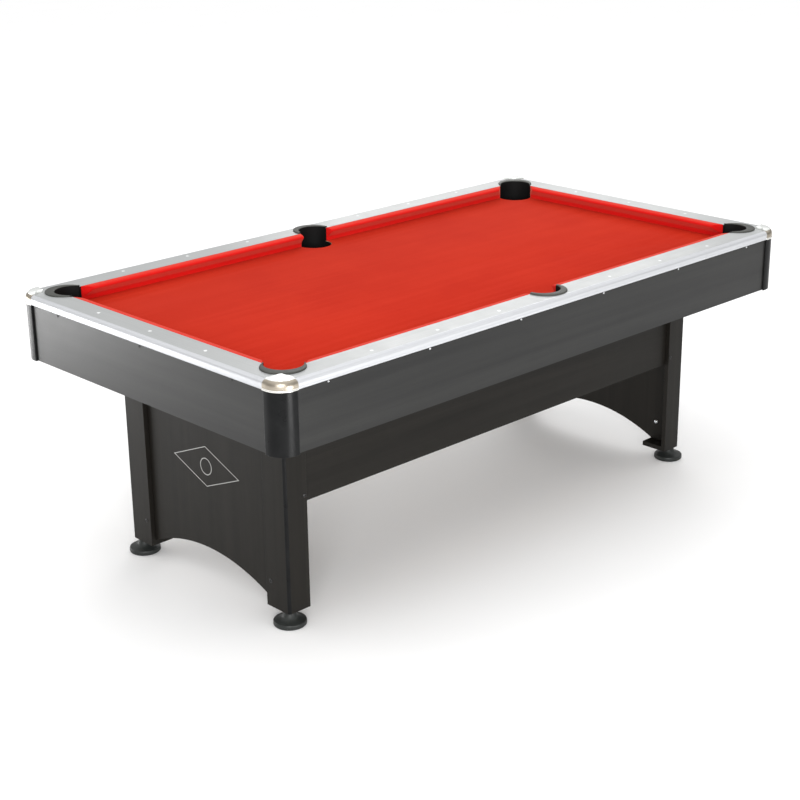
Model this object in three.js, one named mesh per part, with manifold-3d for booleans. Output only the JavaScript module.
// Seven-foot pool table with six drop pockets, on a boarded base with four screw-down levelling feet.
// Millimetres, +Z up. The origin is on the floor under the middle of the table; +X runs along it, +Y across.
import * as THREE from "three";
import { mergeVertices } from "three/addons/utils/BufferGeometryUtils.js";
import Module from "manifold-3d";

// ---------------------------------------------------------------- driving dimensions
const LENGTH = 2134; // over the edge trims
const WIDTH = 1168;
const RAIL_TOP = 815; // floor to the flat of the rails
const FIT = 0.3; // gap between two pieces that touch

const RAIL_WIDTH = 80.5; // outer face of the trim to the back of the cushion
const CORNER_RADIUS = 51; // plan radius of the trimmed corner
const TRIM_HEIGHT = 28;
const TRIM_DEPTH = 12;
const TRIM_SHOULDER = 14; // height of the rounded upper edge of the trim
const TRIM_FOOT = 4; // round under the lower edge
const TRIM_OVERHANG = 6; // the trim stands this far out from the apron

const CUSHION_DEPTH = 25; // back of the cushion to its nose
const CUSHION_FALL = 5; // the nose is this much lower than the rail
const CUSHION_NOSE = 5; // height of the blunt nose
const NOSE_ROUND = 1;
const NOSE_CROWN = 5; // how far behind the nose the top bends down
const CUSHION_BACK = 6; // cloth-covered strip under the rubber
const CUSHION_HEEL = 2; // the rubber starts this far out from that strip
const CORNER_FACING = 38; // degrees between the nose line and the cut at a corner pocket
const SIDE_FACING = 76; // the same at a side pocket
const FACING_CLEARANCE = 0.7; // between the cut end of a cushion and the pocket liner

const BED_DROP = 43; // rail top down to the cloth
const BED_THICKNESS = 15;
const CLOTH_THICKNESS = 1.5;
const BED_CHAMFER = 25; // cut off each corner of the bed, clear of the corner posts

const POCKET_RADIUS = 52; // throat of a pocket
const LINER_WALL = 3;
const LINER_FLANGE = 4.5; // thickness of the crescent on the rail
const LINER_SKIRT = 14; // reach of the liner below the bed
const LINER_LIP = 3; // the liner's lip is this far under the cloth on the playing side
const LINER_CLEARANCE = 0.4; // between the liner and the edge of its hole
const CORNER_POCKET_SET = 30.5; // pocket centre, inwards from the back of the cushion
const CORNER_CRESCENT_SHIFT = 14; // the crescent's arc is centred this far outwards of the pocket
const CORNER_CRESCENT_RIM = 5; // how much larger that arc is than the liner
const SIDE_POCKET_SET = 14; // back wall of a side pocket's throat, inwards from the apron
const SIDE_CRESCENT_SHIFT = 13;
const SIDE_CRESCENT_RIM = 7;
const CUP_DEPTH = 112;
const CUP_WALL = 3;
const CUP_BASE_RADIUS = 48;
const CUP_TAPER = 60; // height of the cup's tapered lower part
const CUP_ROUND = 5;
const CUP_CLEARANCE = 0.6; // between the cup and the liner's skirt inside it
const CUP_DROP = 2; // the cup stops this far under the bed

const APRON_HEIGHT = 169;
const APRON_THICKNESS = 15;
const POST_ARM = 12; // how far the post laps over each apron past the rounded corner
const POST_WALL = 12; // shell of the corner post above its block
const POST_BLOCK = 63; // leg of the triangular block behind the aprons
const POST_DROP = 1.5; // the post reaches this far below the aprons

const CAP_ARM = 13; // how far the corner cap runs along each side past the rounded corner
const CAP_PROUD = 2; // outwards of the trim
const CAP_RISE = 8; // above the rail
const CAP_EDGE = 1.5; // height of the drawn-in lower edge
const CAP_TIP_RADIUS = 16;
const CAP_TIP_CLEARANCE = 1; // to the pocket flange
const CAP_SHOULDER = 9; // width of the tongue's root inside the trimmed edge
const CAP_FILLET = 10; // of the tongue's flank at its root
const CAP_HEM = 2; // the cap draws in this much at its lower edge
const TRIM_UNDER_CAP = 2; // length of trim that runs in under the cap

const BEAM_HEIGHT = 64.6; // the cross beams lie on the base and carry the bed
const BEAM_WIDTH = 40;
const BEAM_INSET = 39; // middle of an end beam, inwards from the end face of the legs

const LEG_INSET_X = 188; // outer end face of a leg, inwards from the end of the table
const LEG_INSET_Y = 219; // outer side face, inwards from its long side
const LEG_SIDE_WIDTH = 77;
const LEG_END_WIDTH = 95;
const BOARD = 15; // thickness of the base boards
const LEG_ROUND = 8;
const LEG_BOTTOM = 42;
const FOOT_PLATE = 15;
const ARCH_SHOULDER = 59.7; // left of the end panel's foot at each side of the arch
const ARCH_TOP = 120;
const PANEL_END_CLEARANCE = 5; // between the end panel and the stretcher
const STRETCHER_BOTTOM = 354;

const FOOT_RADIUS = 47;
const FOOT_RIM = 15;
const FOOT_NECK = 16.5;
const FOOT_EDGE = 2; // bevel of the rim
const FOOT_SET_X = 7; // stud axis, inwards from the inner face of the leg's end board
const FOOT_SET_Y = 10; // the same from its side board
const STUD_RADIUS = 5;
const STUD_TOP = 104;
const STUD_BEVEL = 1;
const BALL_RADIUS = 8;
const BALL_HEIGHT = 20;
const RUNNING = 0.15; // radial clearance of the stud in its plate and in the foot
const SOCKET_CLEARANCE = 0.5; // round the ball

const ROUND_SIDES = 24; // facets of a pocket
const TURNED_SIDES = 16; // facets of a foot or stud
const CORNER_STEPS = 6; // facets of a quarter round
const MERGE = 1e-3;
const PAST = 1; // cutters run this far past what they cut
const FAR = 4000; // larger than anything on the table, for cutting

// ---------------------------------------------------------------- levels and lines that follow from them
const RAIL_UNDER = RAIL_TOP - TRIM_HEIGHT;
const BED_TOP = RAIL_TOP - BED_DROP;
const BOARD_TOP = BED_TOP - CLOTH_THICKNESS - FIT;
const BED_UNDER = BOARD_TOP - BED_THICKNESS;
const APRON_TOP = RAIL_UNDER - FIT;
const APRON_BOTTOM = RAIL_UNDER - APRON_HEIGHT;
const APRON_BACK = TRIM_OVERHANG + APRON_THICKNESS; // from the outer face of the trim
const LINER_OUTER = POCKET_RADIUS + LINER_WALL;
const CUT_RADIUS = LINER_OUTER + LINER_CLEARANCE; // pocket hole in the rails and the bed
const LINER_BOTTOM = BED_UNDER - LINER_SKIRT;
const CUP_INNER = LINER_OUTER + CUP_CLEARANCE;
const CUP_TOP = BED_UNDER - CUP_DROP;
const CUP_BOTTOM = CUP_TOP - CUP_DEPTH;
const CORNER_POCKET = RAIL_WIDTH + CORNER_POCKET_SET; // from either outer face
const CORNER_CRESCENT = CORNER_POCKET - CORNER_CRESCENT_SHIFT;
const CORNER_CRESCENT_RADIUS = LINER_OUTER + CORNER_CRESCENT_RIM;
const SIDE_POCKET = APRON_BACK + SIDE_POCKET_SET + POCKET_RADIUS;
const SIDE_CRESCENT = SIDE_POCKET - SIDE_CRESCENT_SHIFT;
const SIDE_CRESCENT_RADIUS = LINER_OUTER + SIDE_CRESCENT_RIM;
const CRESCENT_BOTTOM = RAIL_TOP + FIT;
const CRESCENT_TOP = CRESCENT_BOTTOM + LINER_FLANGE;
const CAP_REACH = CORNER_RADIUS + CAP_ARM;
const BASE_TOP = BED_UNDER - BEAM_HEIGHT - 2 * FIT; // legs, end panels and stretchers end here
const LEG_X = LENGTH / 2 - LEG_INSET_X;
const LEG_Y = WIDTH / 2 - LEG_INSET_Y;
const END_BEAM_X = LEG_X - BEAM_INSET;
const STRETCHER_Y = LEG_Y - BOARD - FIT; // outer face
const PANEL_X = LEG_X - BOARD - FIT;
const PANEL_HALF = STRETCHER_Y - BOARD - PANEL_END_CLEARANCE;
const ARCH_HALF_WIDTH = PANEL_HALF - ARCH_SHOULDER;
const PLATE_TOP = LEG_BOTTOM + FOOT_PLATE;
const FOOT_X = LEG_X - BOARD - FOOT_SET_X;
const FOOT_Y = LEG_Y - BOARD - FOOT_SET_Y;
const FOOT_TOP = LEG_BOTTOM - FIT;

// ---------------------------------------------------------------- solids
const wasm = await Module();
wasm.setup();

// A closed three.js geometry as a manifold solid.
function solid(geometry) {
  const bare = geometry.clone();
  bare.deleteAttribute("normal");
  bare.deleteAttribute("uv");
  const merged = mergeVertices(bare, MERGE);
  const kept = [];
  const index = merged.index.array;
  for (let i = 0; i < index.length; i += 3) {
    const [a, b, c] = [index[i], index[i + 1], index[i + 2]];
    if (a !== b && b !== c && c !== a) kept.push(a, b, c);
  }
  return new wasm.Manifold(
    new wasm.Mesh({
      numProp: 3,
      vertProperties: merged.attributes.position.array,
      triVerts: new Uint32Array(kept),
    }),
  );
}

function geometryOf(made) {
  const mesh = made.getMesh();
  const geometry = new THREE.BufferGeometry();
  geometry.setAttribute("position", new THREE.BufferAttribute(mesh.vertProperties, mesh.numProp));
  geometry.setIndex(new THREE.BufferAttribute(mesh.triVerts, 1));
  const faceted = geometry.toNonIndexed();
  faceted.computeVertexNormals();
  return faceted;
}

function shapeOf(points) {
  return new THREE.Shape(points.map(([x, y]) => new THREE.Vector2(x, y)));
}

// A plan outline, standing from one level to another.
function prism(points, low, high) {
  const geometry = new THREE.ExtrudeGeometry(shapeOf(points), { depth: high - low, bevelEnabled: false });
  return solid(geometry.translate(0, 0, low));
}

// A cross-section given as (y, z), running along X.
function bar(points, from, to) {
  const geometry = new THREE.ExtrudeGeometry(shapeOf(points), { depth: to - from, bevelEnabled: false });
  const along = new THREE.Matrix4().set(0, 0, 1, from, 1, 0, 0, 0, 0, 1, 0, 0, 0, 0, 0, 1);
  return solid(geometry.applyMatrix4(along));
}

// Points on an arc, angles in degrees.
function arc(x, y, radius, from, to, steps) {
  return Array.from({ length: steps + 1 }, (_, i) => {
    const angle = THREE.MathUtils.degToRad(from + ((to - from) * i) / steps);
    return [x + radius * Math.cos(angle), y + radius * Math.sin(angle)];
  });
}

function column(x, y, radius, low, high, sides = ROUND_SIDES) {
  return prism(arc(x, y, radius, 0, 360, sides).slice(0, sides), low, high);
}

// A turned piece: its profile is (radius, height), from the axis round to the axis.
function turned(profile, x, y, sides) {
  const points = profile.map(([radius, height]) => new THREE.Vector2(radius, height));
  const geometry = new THREE.LatheGeometry(points, sides);
  return solid(geometry.rotateX(Math.PI / 2).translate(x, y, 0));
}

function rectangle(left, front, right, back) {
  return [
    [left, front],
    [right, front],
    [right, back],
    [left, back],
  ];
}

// The same piece with every point (x, y) moved to place(x, y); a reflection turns its faces outwards again.
function placed(made, place, reflects) {
  const geometry = geometryOf(made);
  const position = geometry.attributes.position;
  for (let i = 0; i < position.count; i += 1) {
    position.setXY(i, ...place(position.getX(i), position.getY(i)));
  }
  if (reflects) {
    for (let i = 0; i < position.count; i += 3) {
      const [x, y, z] = [position.getX(i), position.getY(i), position.getZ(i)];
      position.setXYZ(i, position.getX(i + 1), position.getY(i + 1), position.getZ(i + 1));
      position.setXYZ(i + 1, x, y, z);
    }
  }
  return solid(geometry);
}

// ---------------------------------------------------------------- looks
const LOOKS = {
  rail: [0xc6caca, 0.45, 0.1],
  trim: [0xe9ebee, 0.25, 0.6],
  cap: [0xe4e2da, 0.12, 0.9],
  cloth: [0xd63a24, 0.95, 0],
  plastic: [0x2b2c2a, 0.5, 0],
  cup: [0x161616, 0.7, 0],
  apron: [0x4b4b4b, 0.55, 0],
  base: [0x32302d, 0.6, 0],
  post: [0x1d1e20, 0.3, 0],
  board: [0x9a7b55, 0.85, 0],
  foot: [0x343736, 0.45, 0],
  steel: [0xb9bcc0, 0.3, 0.9],
};

const table = new THREE.Group();

function add(name, made, look, parent = table) {
  const [color, roughness, metalness] = LOOKS[look];
  const material = new THREE.MeshStandardMaterial({ color, roughness, metalness });
  const mesh = new THREE.Mesh(geometryOf(made), material);
  mesh.name = name;
  parent.add(mesh);
}

// ---------------------------------------------------------------- the four sides
// Each side has its own turned group: x runs along the side, and y inwards from -offset at its outer face.
const SIDES = [
  { name: "near", kind: "side", turn: 0, half: LENGTH / 2, offset: WIDTH / 2 },
  { name: "right", kind: "end", turn: 90, half: WIDTH / 2, offset: LENGTH / 2 },
  { name: "far", kind: "side", turn: 180, half: LENGTH / 2, offset: WIDTH / 2 },
  { name: "left", kind: "end", turn: 270, half: WIDTH / 2, offset: LENGTH / 2 },
];

// Everything outside a rounded corner of the given radius, all corners sharing one centre.
function cornerWaste(side, sign, radius, low, high) {
  const x = sign * (side.half - CORNER_RADIUS);
  const y = CORNER_RADIUS - side.offset;
  const outside = rectangle(Math.min(x, x + sign * FAR), y - FAR, Math.max(x, x + sign * FAR), y);
  return prism(outside, low, high).subtract(column(x, y, radius, low - PAST, high + PAST, 4 * CORNER_STEPS));
}

// A mitred board between two distances in from the outer face.
function mitredBoard(side, outer, inner, low, high) {
  const reach = (distance) => side.half - distance - FIT / 2;
  const outline = [
    [-reach(outer), outer - side.offset],
    [reach(outer), outer - side.offset],
    [reach(inner), inner - side.offset],
    [-reach(inner), inner - side.offset],
  ];
  return prism(outline, low, high);
}

function topRail(side) {
  const upper = mitredBoard(side, TRIM_DEPTH + FIT, RAIL_WIDTH, RAIL_UNDER, RAIL_TOP);
  const lower = mitredBoard(side, APRON_BACK + FIT, RAIL_WIDTH, BED_TOP + FIT, RAIL_UNDER + PAST);
  let made = upper.add(lower);
  for (const sign of [-1, 1]) {
    const x = sign * (side.half - CORNER_POCKET);
    const pocket = column(x, CORNER_POCKET - side.offset, CUT_RADIUS, BED_UNDER, RAIL_TOP + PAST);
    const waste = cornerWaste(side, sign, CORNER_RADIUS - TRIM_DEPTH - FIT, BED_UNDER, RAIL_TOP + PAST);
    made = made.subtract(pocket).subtract(waste);
  }
  if (side.kind === "side") {
    made = made.subtract(column(0, SIDE_POCKET - side.offset, CUT_RADIUS, BED_UNDER, RAIL_TOP + PAST));
  }
  return made;
}

// Bullnose section of the edge trim as (inwards, height), grown outwards by a clearance.
function trimSection(clearance) {
  const back = TRIM_DEPTH;
  const top = RAIL_TOP + clearance;
  const bottom = RAIL_UNDER - clearance;
  const shoulder = arc(0, 0, 1, 180, 90, CORNER_STEPS).map(([across, up]) => [
    back + (back + clearance) * across,
    top - TRIM_SHOULDER + TRIM_SHOULDER * up,
  ]);
  return [[back, bottom], [TRIM_FOOT - clearance, bottom], [-clearance, bottom + TRIM_FOOT], ...shoulder];
}

function edgeTrim(side) {
  const end = side.half - CAP_REACH + TRIM_UNDER_CAP;
  const section = trimSection(0).map(([inwards, height]) => [inwards - side.offset, height]);
  return bar(section, -end, end);
}

function apron(side) {
  const end = side.half - CORNER_RADIUS - FIT;
  const outline = rectangle(-end, TRIM_OVERHANG - side.offset, end, APRON_BACK - side.offset);
  return prism(outline, APRON_BOTTOM, APRON_TOP);
}

// Where the back edge of a cushion meets the wall of a pocket liner, measured from the pocket's centre.
function throatHalf(pocketSet) {
  return Math.sqrt(LINER_OUTER ** 2 - pocketSet ** 2) + FACING_CLEARANCE;
}

// Ends of a cushion's back edge, from the outer face of the crossing side and from the middle of a long side.
const CORNER_BACK_END = CORNER_POCKET + throatHalf(CORNER_POCKET_SET);
const SIDE_BACK_END = throatHalf(SIDE_POCKET - RAIL_WIDTH);

// Rubber with its cloth, from one cut end to the other; each end is [position at the back, run per depth].
function cushion(side, left, right) {
  const back = RAIL_WIDTH + FIT;
  const nose = RAIL_WIDTH + CUSHION_DEPTH;
  const noseTop = RAIL_TOP - CUSHION_FALL;
  const section = [
    [back, BED_TOP + FIT],
    [back + CUSHION_BACK, BED_TOP + FIT],
    [back + CUSHION_BACK + CUSHION_HEEL, RAIL_UNDER],
    [nose - NOSE_ROUND, noseTop - CUSHION_NOSE],
    [nose, noseTop - CUSHION_NOSE / 2],
    [nose - NOSE_ROUND, noseTop],
    [nose - NOSE_CROWN, noseTop + CUSHION_FALL / 2],
    [back, RAIL_TOP],
  ].map(([inwards, height]) => [inwards - side.offset, height]);
  const edge = ([at, run], depth) => [at + run * depth, RAIL_WIDTH + depth - side.offset];
  const deep = CUSHION_DEPTH + PAST;
  const plan = [edge(left, -PAST), edge(right, -PAST), edge(right, deep), edge(left, deep)];
  const cut = prism(plan, BED_UNDER, RAIL_TOP + PAST);
  return bar(section, -side.half, side.half).intersect(cut);
}

function cushionsOf(side) {
  const cornerRun = 1 / Math.tan(THREE.MathUtils.degToRad(CORNER_FACING));
  const sideRun = 1 / Math.tan(THREE.MathUtils.degToRad(SIDE_FACING));
  const cornerEnd = side.half - CORNER_BACK_END;
  if (side.kind === "end") {
    return { [`cushion_end_${side.name}`]: cushion(side, [-cornerEnd, cornerRun], [cornerEnd, -cornerRun]) };
  }
  const [first, second] = side.turn === 0 ? ["left", "right"] : ["right", "left"];
  return {
    [`cushion_${side.name}_${first}`]: cushion(side, [-cornerEnd, cornerRun], [-SIDE_BACK_END, -sideRun]),
    [`cushion_${side.name}_${second}`]: cushion(side, [SIDE_BACK_END, sideRun], [cornerEnd, -cornerRun]),
  };
}

for (const side of SIDES) {
  const group = new THREE.Group();
  group.rotation.z = THREE.MathUtils.degToRad(side.turn);
  table.add(group);
  add(`${side.kind}_rail_${side.name}`, topRail(side), "rail", group);
  add(`${side.kind}_trim_${side.name}`, edgeTrim(side), "trim", group);
  add(`${side.kind}_apron_${side.name}`, apron(side), "apron", group);
  for (const [name, made] of Object.entries(cushionsOf(side))) add(name, made, "cloth", group);
}

// ---------------------------------------------------------------- pockets
// A liner: a tube through the bed, cut away above it on the playing side, with a crescent on the rail.
function pocketLiner(x, y, disc, mouth) {
  const outer = column(x, y, LINER_OUTER, LINER_BOTTOM, CRESCENT_TOP);
  const open = prism(mouth, BED_TOP - LINER_LIP, CRESCENT_TOP + PAST);
  const hole = column(x, y, POCKET_RADIUS, LINER_BOTTOM - PAST, CRESCENT_TOP + PAST);
  return outer.add(disc).subtract(open).subtract(hole);
}

// The soft cup that catches the balls, pushed up over the liner's skirt.
function pocketCup(x, y) {
  const outer = CUP_INNER + CUP_WALL;
  const taper = CUP_BOTTOM + CUP_TAPER;
  const profile = [
    [0, CUP_BOTTOM],
    [CUP_BASE_RADIUS - CUP_ROUND, CUP_BOTTOM],
    [CUP_BASE_RADIUS, CUP_BOTTOM + CUP_ROUND],
    [outer, taper],
    [outer, CUP_TOP],
    [CUP_INNER, CUP_TOP],
    [CUP_INNER, taper],
    [CUP_BASE_RADIUS - CUP_WALL, CUP_BOTTOM + CUP_ROUND + CUP_WALL],
    [0, CUP_BOTTOM + CUP_WALL],
  ];
  return turned(profile, x, y, ROUND_SIDES);
}

// The crescent of a liner: the disc that its hole is cut from.
function crescent(x, y, radius) {
  return column(x, y, radius, CRESCENT_BOTTOM, CRESCENT_TOP);
}

// A corner's own frame has its origin at the square corner, with the table towards -x and -y.
const CORNERS = [
  { name: "far_right", signX: 1, signY: 1, turn: 0 },
  { name: "far_left", signX: -1, signY: 1, turn: 90 },
  { name: "near_left", signX: -1, signY: -1, turn: 180 },
  { name: "near_right", signX: 1, signY: -1, turn: 270 },
];

function cornerLiner() {
  const disc = crescent(-CORNER_CRESCENT, -CORNER_CRESCENT, CORNER_CRESCENT_RADIUS);
  const mouth = rectangle(-FAR, -FAR, FIT - RAIL_WIDTH, FIT - RAIL_WIDTH);
  return pocketLiner(-CORNER_POCKET, -CORNER_POCKET, disc, mouth);
}

for (const side of SIDES.filter(({ kind }) => kind === "side")) {
  const group = new THREE.Group();
  group.rotation.z = THREE.MathUtils.degToRad(side.turn);
  table.add(group);
  const y = SIDE_POCKET - side.offset;
  const disc = crescent(0, SIDE_CRESCENT - side.offset, SIDE_CRESCENT_RADIUS);
  const mouth = rectangle(-FAR, RAIL_WIDTH - FIT - side.offset, FAR, FAR);
  add(`pocket_liner_${side.name}_middle`, pocketLiner(0, y, disc, mouth), "plastic", group);
  add(`pocket_cup_${side.name}_middle`, pocketCup(0, y), "cup", group);
}

// ---------------------------------------------------------------- corners
// The quarter-round post laps over the aprons, flush with the trims: a shell up to the rail, on a block
// that the ends of both aprons are screwed to.
function cornerPost() {
  const centre = -CORNER_RADIUS;
  const end = centre - POST_ARM;
  const lap = FIT - TRIM_OVERHANG; // inner face of the laps, on the aprons
  const behind = -APRON_BACK - FIT;
  const front = [
    [lap, end],
    [0, end],
    ...arc(centre, centre, CORNER_RADIUS, 0, 90, CORNER_STEPS),
    [end, 0],
    [end, lap],
  ];
  const block = [
    [lap, centre],
    ...front,
    [centre, lap],
    [centre, behind],
    [behind - POST_BLOCK, behind],
    [behind, behind - POST_BLOCK],
    [behind, centre],
  ];
  const inside = arc(centre, centre, CORNER_RADIUS - POST_WALL, 90, 0, CORNER_STEPS);
  const shell = [[lap, centre], ...front, [centre, lap], ...inside];
  const blockTop = BED_UNDER - FIT;
  return prism(block, APRON_BOTTOM - POST_DROP, blockTop).add(prism(shell, blockTop - PAST, APRON_TOP));
}

// Plan outline of the cap: along both sides of the rounded corner, and in to a blunt tongue at the pocket.
function capOutline() {
  const centre = -CORNER_RADIUS;
  const tipReach = (CORNER_CRESCENT_RADIUS + CAP_TIP_CLEARANCE + CAP_TIP_RADIUS) * Math.SQRT1_2;
  const tip = tipReach - CORNER_CRESCENT;
  const root = -TRIM_DEPTH - CAP_SHOULDER;
  const flank = new THREE.QuadraticBezierCurve(
    new THREE.Vector2(-CAP_REACH, root / 2),
    new THREE.Vector2(-CAP_REACH + CAP_FILLET, root),
    new THREE.Vector2(tip - CAP_TIP_RADIUS, tip),
  );
  const upper = flank.getPoints(CORNER_STEPS / 2).map(({ x, y }) => [x, y]);
  const lower = upper.map(([x, y]) => [y, x]).reverse();
  return [
    [CAP_PROUD, -CAP_REACH],
    ...arc(centre, centre, CORNER_RADIUS + CAP_PROUD, 0, 90, CORNER_STEPS),
    [-CAP_REACH, CAP_PROUD],
    ...upper,
    ...arc(tip, tip, CAP_TIP_RADIUS, 180, 270, CORNER_STEPS).slice(1, -1),
    ...lower,
  ];
}

// Rings of the cap's dome, as (how far in from the outline, height over the rail).
const CAP_DOME = [
  [1, -TRIM_SHOULDER / 2],
  [2.5, 0.2 * CAP_RISE],
  [5, 0.5 * CAP_RISE],
  [10, 0.8125 * CAP_RISE],
  [16, CAP_RISE],
];

// A stack of rings of one outline, each drawn in towards a centre, closed at the bottom and the top.
function domed(outline, centre, rings) {
  const count = outline.length;
  const positions = [];
  for (const [inset, height] of rings) {
    for (const [x, y] of outline) {
      const far = Math.hypot(x - centre, y - centre);
      positions.push(x + ((centre - x) * inset) / far, y + ((centre - y) * inset) / far, height);
    }
  }
  const bottom = positions.length / 3;
  positions.push(centre, centre, rings[0][1], centre, centre, rings.at(-1)[1]);
  const index = [];
  for (let i = 0; i < count; i += 1) {
    const next = (i + 1) % count;
    for (let ring = 0; ring < rings.length - 1; ring += 1) {
      const [a, b] = [ring * count + i, ring * count + next];
      index.push(a, b, b + count, a, b + count, a + count);
    }
    const top = (rings.length - 1) * count;
    index.push(bottom, next, i, bottom + 1, top + i, top + next);
  }
  const geometry = new THREE.BufferGeometry();
  geometry.setAttribute("position", new THREE.BufferAttribute(new Float32Array(positions), 3));
  geometry.setIndex(index);
  return solid(geometry);
}

function cornerCap() {
  const centre = -CORNER_RADIUS;
  const envelope = domed(capOutline(), centre + CAP_TIP_RADIUS / 2, [
    [CAP_HEM, RAIL_UNDER],
    [0, RAIL_UNDER + CAP_EDGE],
    [0, RAIL_TOP - TRIM_SHOULDER],
    ...CAP_DOME.map(([inset, rise]) => [inset, RAIL_TOP + rise]),
  ]);
  const plan = (setback) => {
    const edge = -setback;
    return [
      ...arc(centre, centre, CORNER_RADIUS - setback, 0, 90, CORNER_STEPS),
      [-FAR, edge],
      [-FAR, -FAR],
      [edge, -FAR],
    ];
  };
  const rails = prism(plan(TRIM_DEPTH), 0, RAIL_TOP + FIT);
  const trim = trimSection(FIT).map(([inwards, height]) => [-inwards, height]);
  const [low, high] = [trim[0][1], trim.at(-1)[1]];
  const slot = [[-RAIL_WIDTH, high], [-RAIL_WIDTH, low], ...trim.slice(1)];
  const along = bar(slot, -FAR, -CAP_REACH + TRIM_UNDER_CAP + FIT);
  const across = placed(along, (x, y) => [y, x], true);
  return envelope.subtract(rails.add(along).add(across));
}

for (const corner of CORNERS) {
  const group = new THREE.Group();
  group.position.set((corner.signX * LENGTH) / 2, (corner.signY * WIDTH) / 2, 0);
  group.rotation.z = THREE.MathUtils.degToRad(corner.turn);
  table.add(group);
  add(`corner_post_${corner.name}`, cornerPost(), "post", group);
  add(`corner_cap_${corner.name}`, cornerCap(), "cap", group);
  add(`pocket_liner_${corner.name}`, cornerLiner(), "plastic", group);
  add(`pocket_cup_${corner.name}`, pocketCup(-CORNER_POCKET, -CORNER_POCKET), "cup", group);
}

// ---------------------------------------------------------------- bed
function bedPlan(inset, low, high) {
  const x = LENGTH / 2 - APRON_BACK - FIT - inset;
  const y = WIDTH / 2 - APRON_BACK - FIT - inset;
  const outline = [
    [x, BED_CHAMFER - y],
    [x, y - BED_CHAMFER],
    [x - BED_CHAMFER, y],
    [BED_CHAMFER - x, y],
    [-x, y - BED_CHAMFER],
    [-x, BED_CHAMFER - y],
    [BED_CHAMFER - x, -y],
    [x - BED_CHAMFER, -y],
  ];
  let made = prism(outline, low, high);
  for (const signY of [-1, 1]) {
    for (const signX of [-1, 1]) {
      const [pocketX, pocketY] = [LENGTH / 2 - CORNER_POCKET, WIDTH / 2 - CORNER_POCKET];
      made = made.subtract(column(signX * pocketX, signY * pocketY, CUT_RADIUS, low - PAST, high + PAST));
    }
    made = made.subtract(column(0, signY * (WIDTH / 2 - SIDE_POCKET), CUT_RADIUS, low - PAST, high + PAST));
  }
  return made;
}

add("bed_board", bedPlan(0, BED_UNDER, BOARD_TOP), "board");
add("bed_cloth", bedPlan(1, BOARD_TOP + FIT, BED_TOP), "cloth");

// Beams across the base, evenly spaced.
["left", "mid_left", "mid_right", "right"].forEach((name, i, names) => {
  const x = END_BEAM_X * ((2 * i) / (names.length - 1) - 1);
  const end = WIDTH / 2 - APRON_BACK - FIT;
  const outline = rectangle(x - BEAM_WIDTH / 2, -end, x + BEAM_WIDTH / 2, end);
  add(`cross_beam_${name}`, prism(outline, BASE_TOP + FIT, BED_UNDER - FIT), "board");
});

// ---------------------------------------------------------------- base
// An angle of two boards with a plate across its foot that carries the levelling stud.
function leg() {
  const round = arc(LEG_X - LEG_ROUND, LEG_Y - LEG_ROUND, LEG_ROUND, 0, 90, CORNER_STEPS);
  const [inX, inY] = [LEG_X - LEG_SIDE_WIDTH, LEG_Y - LEG_END_WIDTH];
  const angle = [
    [LEG_X - BOARD, inY],
    [LEG_X, inY],
    ...round,
    [inX, LEG_Y],
    [inX, LEG_Y - BOARD],
    [LEG_X - BOARD, LEG_Y - BOARD],
  ];
  const plate = [[inX, inY], [LEG_X, inY], ...round, [inX, LEG_Y]];
  const hole = column(FOOT_X, FOOT_Y, STUD_RADIUS + RUNNING, 0, PLATE_TOP + PAST, TURNED_SIDES);
  return prism(angle, LEG_BOTTOM, BASE_TOP).add(prism(plate, LEG_BOTTOM, PLATE_TOP)).subtract(hole);
}

// A board across the end of the base with a shallow arch under it.
function endPanel(sign) {
  const spring = PLATE_TOP + FIT;
  const rise = ARCH_TOP - spring;
  const radius = (ARCH_HALF_WIDTH ** 2 + rise ** 2) / (2 * rise);
  const swing = THREE.MathUtils.radToDeg(Math.asin(ARCH_HALF_WIDTH / radius));
  const section = [
    [PANEL_HALF, spring],
    [PANEL_HALF, BASE_TOP],
    [-PANEL_HALF, BASE_TOP],
    [-PANEL_HALF, spring],
    ...arc(0, ARCH_TOP - radius, radius, 90 + swing, 90 - swing, 2 * CORNER_STEPS),
  ];
  const [from, to] = [sign * PANEL_X, sign * (PANEL_X - BOARD)].sort((a, b) => a - b);
  return bar(section, from, to);
}

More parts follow.
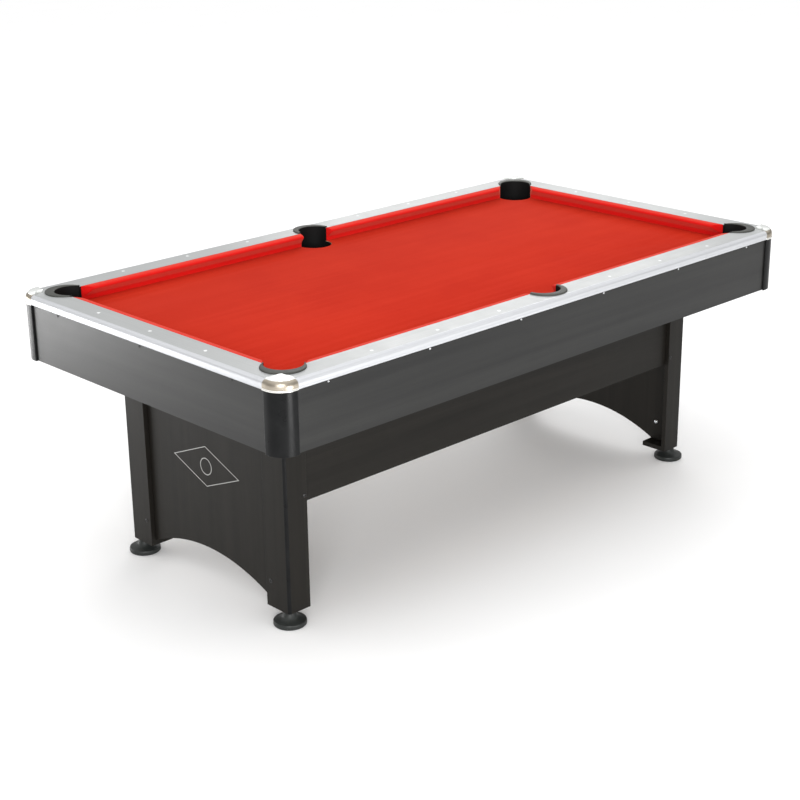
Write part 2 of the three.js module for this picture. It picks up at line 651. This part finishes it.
function stretcher(sign) {
  const [from, to] = [sign * STRETCHER_Y, sign * (STRETCHER_Y - BOARD)].sort((a, b) => a - b);
  return prism(rectangle(-PANEL_X, from, PANEL_X, to), STRETCHER_BOTTOM, BASE_TOP);
}

for (const [name, sign] of [["left", -1], ["right", 1]]) add(`end_panel_${name}`, endPanel(sign), "base");
for (const [name, sign] of [["near", -1], ["far", 1]]) add(`stretcher_${name}`, stretcher(sign), "base");

// ---------------------------------------------------------------- levelling feet
// Points of the foot's flare, as (out from the neck, above the rim).
const FOOT_FLARE = [
  [12, 4],
  [3, 13],
];

// The flared foot has a round socket, and the stud's ball turns in it.
function footProfile() {
  const socket = BALL_RADIUS + SOCKET_CLEARANCE;
  const bore = STUD_RADIUS + RUNNING;
  const lip = THREE.MathUtils.radToDeg(Math.acos(bore / socket));
  return [
    [0, 0],
    [FOOT_RADIUS - FOOT_EDGE, 0],
    [FOOT_RADIUS, FOOT_EDGE],
    [FOOT_RADIUS, FOOT_RIM - FOOT_EDGE],
    [FOOT_RADIUS - FOOT_EDGE, FOOT_RIM],
    ...FOOT_FLARE.map(([out, up]) => [FOOT_NECK + out, FOOT_RIM + up]),
    [FOOT_NECK, FOOT_TOP],
    [bore, FOOT_TOP],
    ...arc(0, BALL_HEIGHT, socket, lip, -90, CORNER_STEPS).slice(0, -1),
    [0, BALL_HEIGHT - socket],
  ];
}

function studProfile() {
  const neck = THREE.MathUtils.radToDeg(Math.acos(STUD_RADIUS / BALL_RADIUS));
  return [
    [0, BALL_HEIGHT - BALL_RADIUS],
    ...arc(0, BALL_HEIGHT, BALL_RADIUS, -90, neck, CORNER_STEPS).slice(1),
    [STUD_RADIUS, STUD_TOP - STUD_BEVEL],
    [STUD_RADIUS - STUD_BEVEL, STUD_TOP],
    [0, STUD_TOP],
  ];
}

for (const { name, signX, signY } of CORNERS) {
  add(`leg_${name}`, placed(leg(), (x, y) => [x * signX, y * signY], signX * signY < 0), "base");
  add(`foot_${name}`, turned(footProfile(), signX * FOOT_X, signY * FOOT_Y, TURNED_SIDES), "foot");
  add(`stud_${name}`, turned(studProfile(), signX * FOOT_X, signY * FOOT_Y, TURNED_SIDES), "steel");
}

export default table;
